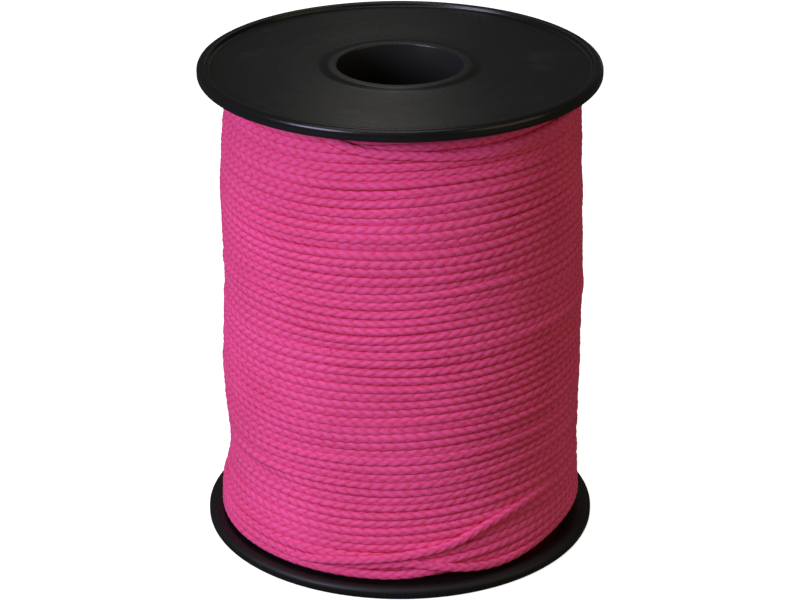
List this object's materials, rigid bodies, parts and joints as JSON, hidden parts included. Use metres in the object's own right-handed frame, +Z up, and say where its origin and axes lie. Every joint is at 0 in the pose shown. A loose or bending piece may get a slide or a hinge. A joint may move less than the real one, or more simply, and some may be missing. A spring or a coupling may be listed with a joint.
{
  "type": "fishing line spool",
  "caption": "Flanged plastic spool wound full with braided fishing line, with a round spindle bore through its hubs.",
  "frame": {"origin": "centre of the ring that the bottom flange's rim stands on", "axes": "+Z up along the spool's axis, from the bottom flange to the top flange; -Y is the side where the crossing turn shows"},
  "size_m": [0.08, 0.08, 0.0987],
  "materials": {
    "flange_plastic": "satin",
    "core_plastic": "matte",
    "line": "braided"
  },
  "bodies": {
    "root": {"top_flange": "flange_plastic", "bottom_flange": "flange_plastic", "core_tube": "core_plastic", "line_layer_01": "line", "line_layer_02": "line", "line_layer_03": "line", "line_layer_04": "line", "line_layer_05": "line", "line_layer_06": "line", "line_layer_07": "line", "line_layer_08": "line", "line_layer_09": "line", "line_layer_10": "line", "line_layer_11": "line", "line_outer_layer": "line", "line_crossing_turn": "line"}
  },
  "joints": []
}
